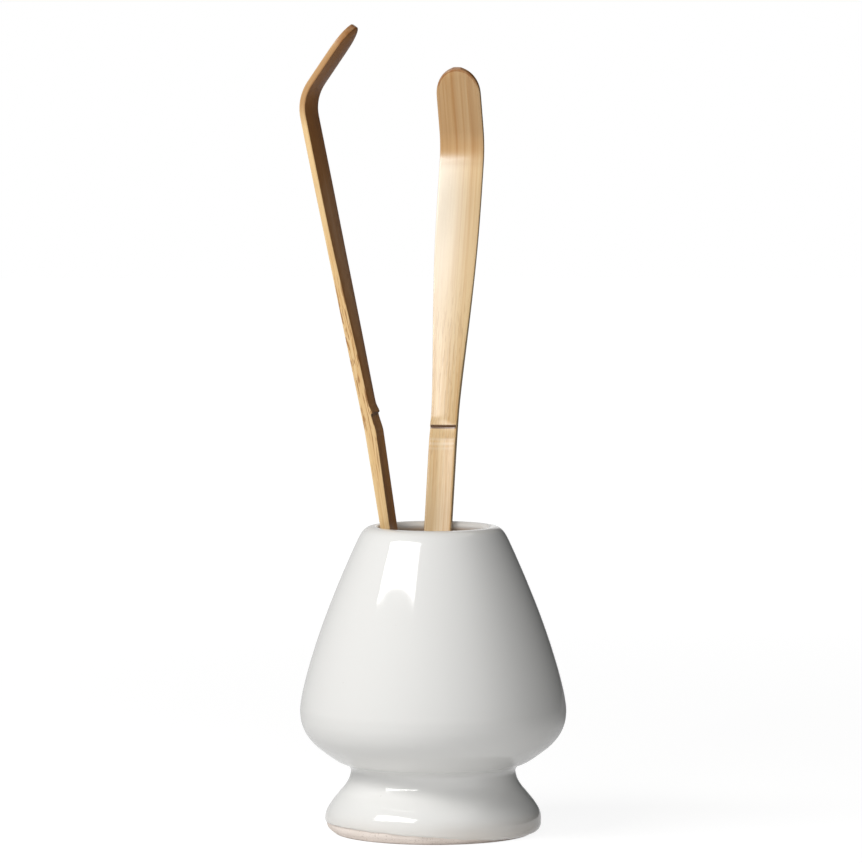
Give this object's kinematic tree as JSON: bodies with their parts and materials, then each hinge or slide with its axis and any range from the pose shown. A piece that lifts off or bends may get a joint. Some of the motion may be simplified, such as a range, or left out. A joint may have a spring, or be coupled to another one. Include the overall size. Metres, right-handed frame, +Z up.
{
  "type": "tea whisk holder",
  "caption": "Waisted whisk holder of white glazed stoneware with a flared foot and bamboo tea scoops standing in it; the scoops lift out.",
  "frame": {"origin": "centre of the holder's flat base, on the surface it stands on", "axes": "+Z up along the holder's axis; -Y is the front of the picture, +X its right"},
  "size_m": [0.0608, 0.0777, 0.184],
  "materials": {
    "clay": "bare fired stoneware, matt",
    "glaze": "glossy white glaze",
    "bamboo": "polished bamboo"
  },
  "bodies": {
    "holder": {"clay_body": "clay", "glaze_coat": "glaze"},
    "left_scoop": {"left_scoop": "bamboo"},
    "right_scoop": {"right_scoop": "bamboo"}
  },
  "joints": [
    {"name": "lift_left_scoop", "type": "slide", "parent": "holder", "child": "left_scoop", "axis": [-0.1582, 0.0301, 0.987], "range_m": [0, 0.075]},
    {"name": "lift_right_scoop", "type": "slide", "parent": "holder", "child": "right_scoop", "axis": [0.0565, 0.3572, 0.9323], "range_m": [0, 0.075]}
  ]
}
